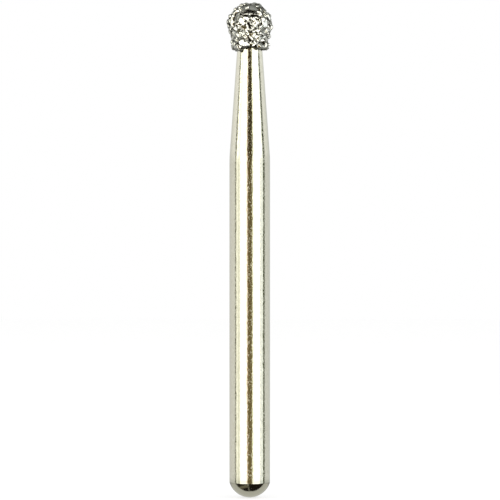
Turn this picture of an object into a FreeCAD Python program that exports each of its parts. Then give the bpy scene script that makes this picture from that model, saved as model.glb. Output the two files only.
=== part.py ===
# Round dental bur with a collar: a turned steel blank whose head carries a diamond coating.
# Millimetres. The origin is the lowest point of the domed butt end, and the head points up, along +Z.
import FreeCAD, Part
import math
import os
import random
import Sketcher

from FreeCAD import Rotation, Vector
from types import SimpleNamespace

# Driving dimensions: alias, value, meaning.
SIZES = [
    ("overall_length", 19.5, "butt end to the tip of the grit"),
    ("shank_diameter", 1.6, "plain shank that the chuck grips"),
    ("shank_length", 13.35, "butt end to the corner where the neck starts"),
    ("butt_dome_height", 0.6, "height of the domed butt end"),
    ("butt_edge_radius", 0.08, "broken edge between the butt dome and the shank"),
    ("neck_blend_radius", 6.0, "soft turn from the shank into the neck"),
    ("neck_top_diameter", 0.98, "neck where it meets the collar"),
    ("ball_diameter", 1.82, "ball, over the tips of the largest crystals"),
    ("collar_diameter", 1.56, "collar under the ball, over the tips of the largest crystals"),
    ("head_length", 1.93, "tip of the grit to the lower rim of the bond"),
    ("rim_bevel", 0.09, "width and height of the slope at the bond's lower rim"),
    ("nickel_under_grit", 0.01, "least nickel between a crystal and the blank"),
    ("grit_size", 0.22, "corner to corner of the largest crystal"),
    ("grit_exposure", 0.09, "how far the largest crystal stands out of the bond"),
    ("grit_gap", 0.005, "least room between two crystals"),
]

# Heights and radii that both pieces are drawn from, in the sheet's own names.
BALL_CENTRE_HEIGHT = "sizes.overall_length - sizes.ball_diameter / 2"
BOND_BASE_HEIGHT = "sizes.overall_length - sizes.head_length"
BOND_BALL_RADIUS = "sizes.ball_diameter / 2 - sizes.grit_exposure"
BOND_COLLAR_RADIUS = "sizes.collar_diameter / 2 - sizes.grit_exposure"
BOND_THICKNESS = "(sizes.grit_size - sizes.grit_exposure + sizes.nickel_under_grit)"
CORE_BALL_RADIUS = f"{BOND_BALL_RADIUS} - {BOND_THICKNESS}"
CORE_COLLAR_RADIUS = f"{BOND_COLLAR_RADIUS} - {BOND_THICKNESS}"
CORE_COLLAR_HEIGHT = f"{BOND_BASE_HEIGHT} + {BOND_THICKNESS}"

# Points a golden angle apart on a spiral, each with the same area to itself, keep this share of that area's
# square root between them, if the first lies one and a half areas from the tip.
GOLDEN_ANGLE = math.pi * (3 - math.sqrt(5))
SPACING_SHARE = 0.945
FIRST_AREA_SHARE = 1.5
# The outline is walked in steps of this share of a crystal.
WALK_SHARE = 0.05

# A crystal keeps at least this share of its full size along each of its own axes.
LEAST_STRETCH = 0.85
CRYSTAL_SEED = 18

# Sketcher's numbers for the start, end and centre of an element, and for the origin and the upright axis.
START_INDEX, END_INDEX, CENTRE_INDEX = 1, 2, 3
ORIGIN_INDEX, UPRIGHT_AXIS_INDEX = -1, -2

ROUNDING_ERROR = 1e-6


def make_sheet(doc):
    """Write the driving dimensions into a spreadsheet, one cell with an alias for each."""
    sheet = doc.addObject("Spreadsheet::Sheet", "sizes")
    for row, (alias, value, meaning) in enumerate(SIZES, start=1):
        sheet.set(f"A{row}", str(value))
        sheet.setAlias(f"A{row}", alias)
        sheet.set(f"B{row}", meaning)
    doc.recompute()
    return sheet


def evaluate(sheet, formula):
    """Value of a formula in the sheet's names, in millimetres."""
    value = sheet.evalExpression(formula)
    return float(getattr(value, "Value", value))


def add_half_section(body, name):
    """Add an empty sketch on the body's XZ plane: across is the radius, and up is the height."""
    sketch = body.newObject("Sketcher::SketchObject", name)
    plane = next(item for item in body.Origin.OriginFeatures if item.Role == "XZ_Plane")
    sketch.AttachmentSupport = [(plane, "")]
    sketch.MapMode = "FlatFace"
    return sketch


def line(start, end):
    """Straight element between two points of a half section."""
    return Part.LineSegment(Vector(*start, 0), Vector(*end, 0))


def arc(centre, radius, from_angle, to_angle):
    """Arc of a half section, counter-clockwise, with its angles in radians."""
    circle = Part.Circle(Vector(*centre, 0), Vector(0, 0, 1), radius)
    return Part.ArcOfCircle(circle, from_angle, to_angle)


def start_of(element):
    """Start of an element, as Sketcher names it."""
    return element, START_INDEX


def end_of(element):
    """End of an element, as Sketcher names it."""
    return element, END_INDEX


def centre_of(element):
    """Centre of an arc, as Sketcher names it."""
    return element, CENTRE_INDEX


def constrain(sketch, kind, *places):
    """Add a constraint that needs no number."""
    sketch.addConstraint(Sketcher.Constraint(kind, *places))


def join_in_turn(sketch, elements):
    """Make the end of each element one point with the start of the next."""
    for element, following in zip(elements, elements[1:]):
        constrain(sketch, "Coincident", *end_of(element), *start_of(following))


def put_on_axis(sketch, point):
    """Hold a point on the bur's axis."""
    constrain(sketch, "PointOnObject", *point, UPRIGHT_AXIS_INDEX)


def dimension(sketch, name, kind, places, formula, sheet):
    """Add a named dimension whose value comes from the spreadsheet."""
    index = sketch.addConstraint(Sketcher.Constraint(kind, *places, evaluate(sheet, formula)))
    sketch.renameConstraint(index, name)
    sketch.setExpression(f"Constraints.{name}", formula)


def set_radius(sketch, element, name, formula, sheet):
    """Give an arc its radius."""
    dimension(sketch, name, "Radius", [element], formula, sheet)


def set_across(sketch, point, name, formula, sheet):
    """Give a point its distance from the axis."""
    dimension(sketch, name, "DistanceX", [*start_of(ORIGIN_INDEX), *point], formula, sheet)


def set_height(sketch, point, name, formula, sheet):
    """Give a point its height above the butt end."""
    dimension(sketch, name, "DistanceY", [*start_of(ORIGIN_INDEX), *point], formula, sheet)


def revolve(body, sketch, name):
    """Turn a half section once round the bur's axis."""
    turned = body.newObject("PartDesign::Revolution", name)
    turned.Profile = sketch
    turned.ReferenceAxis = (sketch, ["V_Axis"])
    turned.Angle = 360
    return turned


def draw_ball(sketch, collar, ball, ball_height):
    """Draw a ball from the side of its collar to the tip, and return its arc with the height it starts at."""
    drop = math.sqrt(ball**2 - collar**2)
    ball_arc = arc((0, ball_height), ball, math.atan2(-drop, collar), math.pi / 2)
    return sketch.addGeometry(ball_arc), ball_height - drop


def draw_blank(sketch, sheet):
    """Draw the blank's half section at its sizes, from the butt end round to the axis."""
    shank = evaluate(sheet, "sizes.shank_diameter / 2")
    dome = evaluate(sheet, "sizes.butt_dome_height")
    corner = evaluate(sheet, "sizes.shank_length")
    neck_top = evaluate(sheet, "sizes.neck_top_diameter / 2")
    turn = evaluate(sheet, "sizes.neck_blend_radius")
    collar = evaluate(sheet, CORE_COLLAR_RADIUS)
    collar_base = evaluate(sheet, CORE_COLLAR_HEIGHT)
    ball = evaluate(sheet, CORE_BALL_RADIUS)
    ball_height = evaluate(sheet, BALL_CENTRE_HEIGHT)

    dome_radius = (shank**2 + dome**2) / (2 * dome)
    dome_end = math.atan2(dome - dome_radius, shank)
    taper = math.atan2(shank - neck_top, collar_base - corner)
    turn_start = corner - turn * math.tan(taper / 2)
    turn_end = (shank - turn + turn * math.cos(taper), turn_start + turn * math.sin(taper))

    ball_arc, collar_top = draw_ball(sketch, collar, ball, ball_height)
    return SimpleNamespace(
        dome=sketch.addGeometry(arc((0, dome_radius), dome_radius, -math.pi / 2, dome_end)),
        shank=sketch.addGeometry(line((shank, dome), (shank, turn_start))),
        turn=sketch.addGeometry(arc((shank - turn, turn_start), turn, 0, taper)),
        neck=sketch.addGeometry(line(turn_end, (neck_top, collar_base))),
        shoulder=sketch.addGeometry(line((neck_top, collar_base), (collar, collar_base))),
        collar=sketch.addGeometry(line((collar, collar_base), (collar, collar_top))),
        ball=ball_arc,
        axis=sketch.addGeometry(line((0, ball_height + ball), (0, 0))),
        corner=sketch.addGeometry(Part.Point(Vector(shank, corner, 0)), True),
    )


def join_blank(sketch, outline):
    """Close the blank's half section and keep its arcs, uprights and turn true."""
    join_in_turn(sketch, [outline.dome, outline.shank])
    join_in_turn(sketch, [outline.neck, outline.shoulder, outline.collar, outline.ball, outline.axis])
    join_in_turn(sketch, [outline.axis, outline.dome])
    constrain(sketch, "Coincident", *start_of(outline.dome), *start_of(ORIGIN_INDEX))
    constrain(sketch, "Tangent", *end_of(outline.shank), *start_of(outline.turn))
    constrain(sketch, "Tangent", *end_of(outline.turn), *start_of(outline.neck))
    for point in (centre_of(outline.dome), centre_of(outline.ball), end_of(outline.ball)):
        put_on_axis(sketch, point)
    for upright in (outline.shank, outline.collar):
        constrain(sketch, "Vertical", upright)
    constrain(sketch, "Horizontal", outline.shoulder)
    for side in (outline.shank, outline.neck):
        constrain(sketch, "PointOnObject", *start_of(outline.corner), side)


def size_blank(sketch, outline, sheet):
    """Give the blank's half section its dimensions."""
    set_across(sketch, start_of(outline.shank), "shank_radius", "sizes.shank_diameter / 2", sheet)
    set_height(sketch, start_of(outline.shank), "dome_height", "sizes.butt_dome_height", sheet)
    set_radius(sketch, outline.turn, "turn_radius", "sizes.neck_blend_radius", sheet)
    set_height(sketch, start_of(outline.corner), "corner_height", "sizes.shank_length", sheet)
    set_across(sketch, end_of(outline.neck), "neck_radius", "sizes.neck_top_diameter / 2", sheet)
    set_height(sketch, end_of(outline.neck), "collar_height", CORE_COLLAR_HEIGHT, sheet)
    set_across(sketch, start_of(outline.collar), "collar_radius", CORE_COLLAR_RADIUS, sheet)
    set_height(sketch, centre_of(outline.ball), "ball_height", BALL_CENTRE_HEIGHT, sheet)
    set_radius(sketch, outline.ball, "ball_radius", CORE_BALL_RADIUS, sheet)


def break_butt_edge(body, turned, sheet):
    """Round the edge where the butt dome meets the shank."""
    height = evaluate(sheet, "sizes.butt_dome_height")
    radius = evaluate(sheet, "sizes.shank_diameter / 2")
    names = [
        f"Edge{number}"
        for number, edge in enumerate(turned.Shape.Edges, start=1)
        if not edge.Degenerated
        and isinstance(edge.Curve, Part.Circle)
        and abs(edge.Curve.Radius - radius) < ROUNDING_ERROR
        and abs(edge.Curve.Center.z - height) < ROUNDING_ERROR
    ]
    rounding = body.newObject("PartDesign::Fillet", "butt_edge")
    rounding.Base = (turned, names)
    rounding.setExpression("Radius", "sizes.butt_edge_radius")


def make_steel_blank(doc, sheet):
    """Turned steel blank: butt dome, shank, tapered neck, and the collar and ball under the coating."""
    body = doc.addObject("PartDesign::Body", "steel_blank")
    body.Label = "steel_blank"
    sketch = add_half_section(body, "blank_half_section")
    outline = draw_blank(sketch, sheet)
    join_blank(sketch, outline)
    size_blank(sketch, outline, sheet)
    turned = revolve(body, sketch, "turned_blank")
    doc.recompute()
    break_butt_edge(body, turned, sheet)
    doc.recompute()
    return body


def draw_bond(sketch, sheet):
    """Draw the bond's half section at its sizes, from the axis round the rim and the tip."""
    base = evaluate(sheet, BOND_BASE_HEIGHT)
    collar = evaluate(sheet, BOND_COLLAR_RADIUS)
    ball = evaluate(sheet, BOND_BALL_RADIUS)
    ball_height = evaluate(sheet, BALL_CENTRE_HEIGHT)
    bevel = evaluate(sheet, "sizes.rim_bevel")

    ball_arc, collar_top = draw_ball(sketch, collar, ball, ball_height)
    return SimpleNamespace(
        floor=sketch.addGeometry(line((0, base), (collar - bevel, base))),
        slope=sketch.addGeometry(line((collar - bevel, base), (collar, base + bevel))),
        collar=sketch.addGeometry(line((collar, base + bevel), (collar, collar_top))),
        ball=ball_arc,
        axis=sketch.addGeometry(line((0, ball_height + ball), (0, base))),
    )


def join_bond(sketch, outline):
    """Close the bond's half section and keep its ball, floor and collar true."""
    join_in_turn(sketch, [outline.floor, outline.slope, outline.collar, outline.ball, outline.axis])
    join_in_turn(sketch, [outline.axis, outline.floor])
    for point in (start_of(outline.floor), centre_of(outline.ball), end_of(outline.ball)):
        put_on_axis(sketch, point)
    constrain(sketch, "Horizontal", outline.floor)
    constrain(sketch, "Vertical", outline.collar)


def size_bond(sketch, outline, sheet):
    """Give the bond's half section its dimensions."""
    floor_radius = f"{BOND_COLLAR_RADIUS} - sizes.rim_bevel"
    slope_top = f"{BOND_BASE_HEIGHT} + sizes.rim_bevel"
    set_height(sketch, start_of(outline.floor), "base_height", BOND_BASE_HEIGHT, sheet)
    set_across(sketch, end_of(outline.floor), "floor_radius", floor_radius, sheet)
    set_across(sketch, start_of(outline.collar), "collar_radius", BOND_COLLAR_RADIUS, sheet)
    set_height(sketch, start_of(outline.collar), "slope_top", slope_top, sheet)
    set_height(sketch, centre_of(outline.ball), "ball_height", BALL_CENTRE_HEIGHT, sheet)
    set_radius(sketch, outline.ball, "ball_radius", BOND_BALL_RADIUS, sheet)


def make_bond(doc, sheet):
    """Nickel bond before the blank is taken out of it, and the part of its outline that carries grit."""
    body = doc.addObject("PartDesign::Body", "bond")
    sketch = add_half_section(body, "bond_half_section")
    outline = draw_bond(sketch, sheet)
    join_bond(sketch, outline)
    size_bond(sketch, outline, sheet)
    revolve(body, sketch, "turned_bond")
    doc.recompute()
    return body, [sketch.Geometry[outline.collar], sketch.Geometry[outline.ball]]


def order_round(corners, outward):
    """Corners of a flat face in order round its outward direction."""
    middle = sum(corners, Vector()) * (1 / len(corners))
    across = (corners[0] - middle).normalize()
    upward = outward.cross(across)

    def angle(corner):
        spoke = corner - middle
        return math.atan2(spoke.dot(upward), spoke.dot(across))

    return sorted(corners, key=angle)


def crystal_faces():
    """The 14 faces of a blocky diamond crystal, each a loop of corners at distance 1 from its centre."""
    signs = (-1, 1)
    share = 1 / math.sqrt(2)
    corners = [
        Vector(*place) * share
        for one in signs
        for two in signs
        for place in ((one, two, 0), (one, 0, two), (0, one, two))
    ]
    axes = (Vector(1, 0, 0), Vector(0, 1, 0), Vector(0, 0, 1))
    outwards = [axis * sign for axis in axes for sign in signs]
    outwards += [Vector(x, y, z).normalize() for x in signs for y in signs for z in signs]
    faces = []
    for outward in outwards:
        reach = max(corner.dot(outward) for corner in corners)
        on_face = [corner for corner in corners if corner.dot(outward) > reach - ROUNDING_ERROR]
        faces.append(order_round(on_face, outward))
    return faces


def make_crystal(faces, radius, centre, chance):
    """One crystal: the unit form drawn out along its own axes, turned at random and set in place."""
    stretch = Vector(*(radius * chance.uniform(LEAST_STRETCH, 1) for _ in range(3)))
    spin_axis = Vector(*(chance.gauss(0, 1) for _ in range(3)))
    rotation = Rotation(spin_axis, chance.uniform(0, 360))

    def placed(corner):
        drawn_out = Vector(corner.x * stretch.x, corner.y * stretch.y, corner.z * stretch.z)
        return centre + rotation.multVec(drawn_out)

    loops = [[placed(corner) for corner in face] for face in faces]
    return Part.Solid(Part.Shell([Part.Face(Part.makePolygon(loop + loop[:1])) for loop in loops]))


def walk_outline(outline, step, sunk):
    """Points sunk below the outline, from the tip to the rim, each with its distance from the one before."""
    edges = Part.sortEdges([element.toShape() for element in outline])[0]
    points = Part.Wire(edges).discretize(Distance=step)
    if points[0].y < points[-1].y:
        points.reverse()
    before = None
    for here, after in zip(points, points[1:]):
        along = after - here
        if along.Length < ROUNDING_ERROR:
            continue
        inward = Vector(along.y, -along.x, 0).normalize()
        place = (here + after) * 0.5 + inward * sunk
        if before:
            yield place, (place - before).Length
        before = place


def make_grit(doc, sheet, outline):
    """Diamond crystals on a golden-angle spiral round the bond, each sunk so that only its tip stands out."""
    radius = evaluate(sheet, "sizes.grit_size / 2")
    sunk = evaluate(sheet, "sizes.grit_size / 2 - sizes.grit_exposure")
    area_each = (evaluate(sheet, "sizes.grit_size + sizes.grit_gap") / SPACING_SHARE) ** 2

    faces = crystal_faces()
    chance = random.Random(CRYSTAL_SEED)
    crystals = []
    areas_passed = 0
    for place, step in walk_outline(outline, radius * WALK_SHARE, sunk):
        areas_passed += 2 * math.pi * place.x * step / area_each
        if areas_passed < len(crystals) + FIRST_AREA_SHARE:
            continue
        turn = len(crystals) * GOLDEN_ANGLE
        centre = Vector(place.x * math.cos(turn), place.x * math.sin(turn), place.y)
        crystals.append(make_crystal(faces, radius, centre, chance))
    grit = doc.addObject("Part::Feature", "grit")
    grit.Shape = Part.makeCompound(crystals)
    return grit


def make_diamond_coating(doc, sheet, blank):
    """Coating of one piece: the nickel bond, hollow where the blank fills it, grown round its crystals."""
    bond, outline = make_bond(doc, sheet)
    shell = doc.addObject("Part::Cut", "bond_shell")
    shell.Base = bond
    shell.Tool = blank
    coating = doc.addObject("Part::Fuse", "diamond_coating")
    coating.Base = shell
    coating.Tool = make_grit(doc, sheet, outline)
    coating.Refine = False
    coating.Label = "diamond_coating"
    doc.recompute()
    return coating


def check(doc, pieces):
    """Stop if a feature failed or a piece isn't one valid solid."""
    for item in doc.Objects:
        if "Invalid" in item.State or "Error" in item.State:
            raise RuntimeError(f"{item.Label} failed: {item.State}")
    for piece in pieces:
        if piece.Shape.isNull() or not piece.Shape.isValid() or len(piece.Shape.Solids) != 1:
            raise RuntimeError(f"{piece.Label} is not one valid solid")


def main():
    """Build the bur and write one STEP file for each piece."""
    doc = FreeCAD.newDocument("dental_bur")
    sheet = make_sheet(doc)
    blank = make_steel_blank(doc, sheet)
    coating = make_diamond_coating(doc, sheet, blank)
    pieces = [blank, coating]
    check(doc, pieces)
    os.makedirs("parts", exist_ok=True)
    for piece in pieces:
        piece.Shape.exportStep(os.path.join("parts", piece.Label + ".step"))


main()
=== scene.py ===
"""Looks of a round diamond dental bur: a ground steel blank and the plated grit on its head.

The bur stands on its butt end, with its axis along +Z, and the camera looks along +Y. Sizes in the
classes are millimetres, as in the workshop, and a mesh is turned into metres when it is made.
"""

import logging
import math
import random
from dataclasses import dataclass
from enum import Enum
from typing import Any, Iterator

import bpy
import numpy as np
from mathutils import Euler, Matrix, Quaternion, Vector


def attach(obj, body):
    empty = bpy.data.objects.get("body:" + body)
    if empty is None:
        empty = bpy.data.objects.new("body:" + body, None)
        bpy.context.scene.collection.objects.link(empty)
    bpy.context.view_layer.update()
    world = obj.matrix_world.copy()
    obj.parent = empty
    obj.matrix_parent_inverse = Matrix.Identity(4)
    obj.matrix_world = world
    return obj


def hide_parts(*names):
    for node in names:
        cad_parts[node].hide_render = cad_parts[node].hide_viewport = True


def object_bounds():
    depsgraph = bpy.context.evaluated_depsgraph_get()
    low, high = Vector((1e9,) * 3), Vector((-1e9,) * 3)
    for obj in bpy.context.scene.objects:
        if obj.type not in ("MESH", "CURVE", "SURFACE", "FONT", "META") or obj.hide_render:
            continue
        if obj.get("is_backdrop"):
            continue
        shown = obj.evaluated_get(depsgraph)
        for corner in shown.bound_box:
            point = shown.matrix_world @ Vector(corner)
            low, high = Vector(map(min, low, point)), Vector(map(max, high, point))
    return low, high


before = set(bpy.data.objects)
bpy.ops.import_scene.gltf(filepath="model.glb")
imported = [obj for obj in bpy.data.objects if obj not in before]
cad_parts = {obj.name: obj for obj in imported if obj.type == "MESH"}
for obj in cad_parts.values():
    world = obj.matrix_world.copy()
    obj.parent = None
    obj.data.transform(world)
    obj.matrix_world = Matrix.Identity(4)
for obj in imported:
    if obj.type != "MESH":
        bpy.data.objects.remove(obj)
CAD_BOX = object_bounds()

log = logging.getLogger("bur")

MM = 0.001
BODY = "root"

Array = np.ndarray
Socket = bpy.types.NodeSocket
Sockets = tuple[tuple[Any, ...], ...]
Colour = Triple = tuple[float, float, float]
Span = tuple[float, float]
# Where a fade starts and ends, and the values before and after it.
Fade = tuple[float, float, float, float]

WHITE: Colour = (1.0, 1.0, 1.0)


class Slot(Enum):
    """Material slots of the record."""

    STEEL = "steel"
    COATING = "diamond_coating"


class Node(Enum):
    """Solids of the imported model."""

    BLANK = "steel_blank"
    COATING = "diamond_coating"


# Shader wiring


@dataclass
class Wiring:
    """Adds nodes to one node tree and joins their sockets."""

    SPACING = (190, 220)
    ROWS = 3

    tree: bpy.types.NodeTree

    def add(self, kind: str, inputs: dict[Any, Any] | None = None, **settings: Any) -> bpy.types.Node:
        """Add a node.

        Args:
            kind: Blender's name for the node's type.
            inputs: Socket name or number, with the value or the socket that feeds it.
            **settings: Properties of the node itself.

        Returns:
            The new node.
        """
        node = self.tree.nodes.new(kind)
        count = len(self.tree.nodes)
        node.location = (count * self.SPACING[0], -(count % self.ROWS) * self.SPACING[1])
        for name, value in settings.items():
            setattr(node, name, value)
        for name, value in (inputs or {}).items():
            self.feed(node.inputs[name], value)
        return node

    def feed(self, socket: Socket, value: Any) -> None:
        """Give a socket a value, or join it to another socket.

        Args:
            socket: The socket to feed.
            value: The value, or the socket that feeds it.
        """
        if isinstance(value, Socket):
            self.tree.links.new(value, socket)
        elif isinstance(value, tuple) and len(value) == 3 and len(socket.default_value) == 4:
            socket.default_value = (*value, 1.0)
        else:
            socket.default_value = value

    def maths(self, operation: str, *values: Any) -> Socket:
        """Result of a Math node, for numbers or sockets in the node's order."""
        return self.add("ShaderNodeMath", dict(enumerate(values)), operation=operation).outputs[0]

    def remap(self, value: Socket, low: Any, high: Any, to_low: Any, to_high: Any) -> Socket:
        """Smooth step between two results, while a value goes from low to high."""
        inputs = {0: value, 1: low, 2: high, 3: to_low, 4: to_high}
        return self.add("ShaderNodeMapRange", inputs, interpolation_type="SMOOTHSTEP").outputs[0]

    def blend(self, share: Any, first: Any, second: Any) -> Socket:
        """Colour between two others, by the share of the second."""
        node = self.add("ShaderNodeMix", {0: share, 6: first, 7: second}, data_type="RGBA")
        return node.outputs[2]

    def apart(self, first: Socket, second: float) -> Socket:
        """Distance between two values."""
        return self.maths("ABSOLUTE", self.maths("SUBTRACT", first, second))

    def bump(self, distance: float, height: Socket, **others: Socket) -> Socket:
        """Normal of a surface that a mask raises, by up to a distance in metres."""
        inputs = {"Strength": 1.0, "Distance": distance, "Height": height, **others}
        return self.add("ShaderNodeBump", inputs).outputs[0]


@dataclass(frozen=True)
class Effect:
    """A shader node group with named sockets, built once and placed in each material that uses it."""

    VECTOR, FLOAT, COLOUR = "NodeSocketVector", "NodeSocketFloat", "NodeSocketColor"

    name: str
    inputs: Sockets
    outputs: Sockets

    def tree(self) -> bpy.types.NodeTree:
        """Find the group's node tree, or build it when it is first asked for.

        Returns:
            The node tree.
        """
        found = bpy.data.node_groups.get(self.name)
        if found:
            return found
        tree = bpy.data.node_groups.new(self.name, "ShaderNodeTree")
        for name, kind, value in self.inputs:
            socket = tree.interface.new_socket(name=name, in_out="INPUT", socket_type=kind)
            if value is not None:
                socket.default_value = value
        for name, kind in self.outputs:
            tree.interface.new_socket(name=name, in_out="OUTPUT", socket_type=kind)
        wiring = Wiring(tree)
        wiring.add("NodeGroupOutput", self.wire(wiring, wiring.add("NodeGroupInput").outputs))
        return tree

    def wire(self, wiring: Wiring, given: Any) -> dict[str, Socket]:
        """Build the group's inside, from its inputs by name to the sockets that feed its outputs."""
        raise NotImplementedError

    def place(self, wiring: Wiring, inputs: dict[str, Any]) -> Any:
        """Place the group in a material, with its own values, and give its outputs by name."""
        return wiring.add("ShaderNodeGroup", inputs, node_tree=self.tree()).outputs


@dataclass(frozen=True)
class Mottle(Effect):
    """Cloudy unevenness of a surface, as a mask and as a value between two limits."""

    name: str = "mottle"
    inputs: Sockets = (
        ("Vector", Effect.VECTOR, None),
        ("Scale", Effect.FLOAT, 1000.0),
        ("Least", Effect.FLOAT, 0.0),
        ("Most", Effect.FLOAT, 1.0),
        ("Middle", Effect.FLOAT, 0.5),
        ("Contrast", Effect.FLOAT, 0.5),
    )
    outputs: Sockets = (("Mask", Effect.FLOAT), ("Value", Effect.FLOAT))
    detail: float = 4.0
    fineness: float = 0.6
    widest: float = 0.41
    sharpening: float = 0.4

    def wire(self, wiring: Wiring, given: Any) -> dict[str, Socket]:
        """Sharpen a noise round a middle value and spread it between the limits.

        Args:
            wiring: The group's own wiring.
            given: The group's inputs, by name.

        Returns:
            The socket that feeds each output, by name.
        """
        inputs = {"Vector": given["Vector"], "Scale": given["Scale"]}
        inputs |= {"Detail": self.detail, "Roughness": self.fineness}
        noise = wiring.add("ShaderNodeTexNoise", inputs)
        reach = wiring.maths("MULTIPLY_ADD", given["Contrast"], -self.sharpening, self.widest)
        low = wiring.maths("SUBTRACT", given["Middle"], reach)
        high = wiring.maths("ADD", given["Middle"], reach)
        mask = wiring.remap(noise.outputs["Fac"], low, high, 0.0, 1.0)
        spread = wiring.add("ShaderNodeMapRange", {0: mask, 3: given["Least"], 4: given["Most"]})
        return {"Mask": mask, "Value": spread.outputs[0]}


@dataclass(frozen=True)
class TarnishAndShade(Effect):
    """Colour of a metal that is darkened where a mask says so, for real stains and for painted shade."""

    name: str = "tarnish_and_shade"
    inputs: Sockets = (
        ("Clean", Effect.COLOUR, (0.6, 0.6, 0.6, 1.0)),
        ("Darkened", Effect.COLOUR, (0.2, 0.2, 0.2, 1.0)),
        ("Mask", Effect.FLOAT, 0.0),
        ("Amount", Effect.FLOAT, 0.5),
    )
    outputs: Sockets = (("Color", Effect.COLOUR),)

    def wire(self, wiring: Wiring, given: Any) -> dict[str, Socket]:
        """Blend the clean colour into the darkened one."""
        share = wiring.maths("MULTIPLY", given["Mask"], given["Amount"])
        return {"Color": wiring.blend(share, given["Clean"], given["Darkened"])}


# Finishes


def new_material(name: str) -> tuple[bpy.types.Material, Wiring]:
    """Make an empty material.

    Args:
        name: The material's name.

    Returns:
        The material and its wiring.
    """
    material = bpy.data.materials.new(name)
    material.use_nodes = True
    material.node_tree.nodes.clear()
    return material, Wiring(material.node_tree)


@dataclass(frozen=True)
class Clouds:
    """Mottle of one fineness, drawn out along each axis by one over its stretch."""

    scale: float
    rough: Span
    contrast: float = 0.5
    middle: float = 0.5
    stretch: Triple = (1.0, 1.0, 1.0)

    def place(self, wiring: Wiring, point: Socket) -> Any:
        """Place the mottle in a material.

        Args:
            wiring: The material's wiring.
            point: Point on the surface.

        Returns:
            The outputs by name, with the roughness as the value.
        """
        inputs = {0: point, 1: self.stretch}
        drawn_out = wiring.add("ShaderNodeVectorMath", inputs, operation="MULTIPLY").outputs[0]
        inputs = {"Vector": drawn_out, "Scale": self.scale, "Middle": self.middle}
        inputs |= {"Least": self.rough[0], "Most": self.rough[1], "Contrast": self.contrast}
        return Mottle().place(wiring, inputs)


@dataclass(frozen=True)
class GroundSteel:
    """Stainless steel, ground round its axis and handled: fine rings, long blotches, a warm tint, and
    painted shade over the butt end.
    """

    clean: Colour = (0.61, 0.597, 0.515)
    stained: Colour = (0.34, 0.29, 0.18)
    # Painted shade: the colour that the butt end is darkened towards.
    butt_shade: Colour = (0.45, 0.44, 0.37)
    blotches: Clouds = Clouds(21000.0, (0.04, 0.10), contrast=0.75, stretch=(1.0, 1.0, 0.3))
    blotch_depth: float = 6e-7
    blotch_stain: float = 0.16
    rings: Clouds = Clouds(52000.0, (-0.02, 0.03), contrast=0.6, stretch=(0.04, 0.04, 1.0))
    ring_depth: float = 1.2e-7
    flecks: Clouds = Clouds(18000.0, (0.0, 0.3), contrast=0.85, middle=0.57, stretch=(1.0, 1.0, 0.6))
    # Painted shade over the butt end: the height where it ends, the share of that height where it starts
    # to fade, and how much of its colour it takes; and how much smoother the flecks are there.
    butt_shade_height: float = 0.00082
    butt_shade_edge: float = 0.8
    butt_shade_share: float = 0.9
    butt_evenness: float = 0.15

    def material(self) -> bpy.types.Material:
        """Build the finish.

        Returns:
            The material.
        """
        material, wiring = new_material("ground_steel")
        place = wiring.add("ShaderNodeTexCoord").outputs["Object"]
        blotches = self.blotches.place(wiring, place)
        rings = self.rings.place(wiring, place)
        flecks = self.flecks.place(wiring, place)
        height = wiring.add("ShaderNodeSeparateXYZ", {0: place}).outputs["Z"]
        # Painted shade: full over the dome and the lowest part of the shank, fading out higher up.
        butt_shade_mask = wiring.remap(height, self.butt_shade_height * self.butt_shade_edge, self.butt_shade_height, 1.0, 0.0)
        stains = {"Mask": blotches["Mask"], "Amount": self.blotch_stain}
        spotted = TarnishAndShade().place(wiring, {"Clean": self.clean, "Darkened": self.stained, **stains})
        # The steel is painted darker there, as painted shade.
        butt_shading = {"Mask": butt_shade_mask, "Amount": self.butt_shade_share}
        colour = TarnishAndShade().place(wiring, {"Clean": spotted["Color"], "Darkened": self.butt_shade, **butt_shading})
        waved = wiring.bump(self.blotch_depth, blotches["Mask"])
        ringed = wiring.bump(self.ring_depth, rings["Mask"], Normal=waved)
        ground = wiring.maths("ADD", blotches["Value"], rings["Value"])
        flecked = wiring.maths("MULTIPLY_ADD", butt_shade_mask, -self.butt_evenness, flecks["Value"])
        inputs = {"Base Color": colour["Color"], "Metallic": 1.0, "Normal": ringed}
        inputs["Roughness"] = wiring.maths("MAXIMUM", ground, flecked)
        shader = wiring.add("ShaderNodeBsdfPrincipled", inputs)
        wiring.add("ShaderNodeOutputMaterial", {"Surface": shader.outputs[0]})
        return material


@dataclass(frozen=True)
class PlatedGrit:
    """Bright nickel grown round diamond grit, with painted shade in the crevices, in the pits and along
    the lower rim.
    """

    clean: Colour = (0.7, 0.7, 0.66)
    # Painted shade: the near-black colour of the crevices, the pits and the band along the lower rim.
    crevice: Colour = (0.006, 0.004, 0.002)
    edge: Colour = (0.04, 0.035, 0.02)
    grain: Clouds = Clouds(26000.0, (0.04, 0.12), contrast=0.3)
    grain_depth: float = 0.9e-6
    crevice_rough: float = 0.25

    def material(self) -> bpy.types.Material:
        """Build the finish.

        Returns:
            The material.
        """
        material, wiring = new_material("plated_grit")
        place = wiring.add("ShaderNodeTexCoord").outputs["Object"]
        depth = wiring.add("ShaderNodeAttribute", attribute_name=DiamondHead.DEPTH).outputs["Fac"]
        grain = self.grain.place(wiring, place)
        # Painted shade: the head's depth attribute darkens the nickel towards that colour.
        shade_inputs = {"Darkened": self.crevice, "Mask": depth, "Amount": 1.0}
        colour = TarnishAndShade().place(wiring, {"Clean": self.clean, **shade_inputs})
        inputs = {"Base Color": colour["Color"], "Metallic": 1.0, "Specular Tint": self.edge}
        inputs["Roughness"] = wiring.maths("MULTIPLY_ADD", depth, self.crevice_rough, grain["Value"])
        inputs["Normal"] = wiring.bump(self.grain_depth, grain["Mask"])
        shader = wiring.add("ShaderNodeBsdfPrincipled", inputs)
        wiring.add("ShaderNodeOutputMaterial", {"Surface": shader.outputs[0]})
        return material


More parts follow.
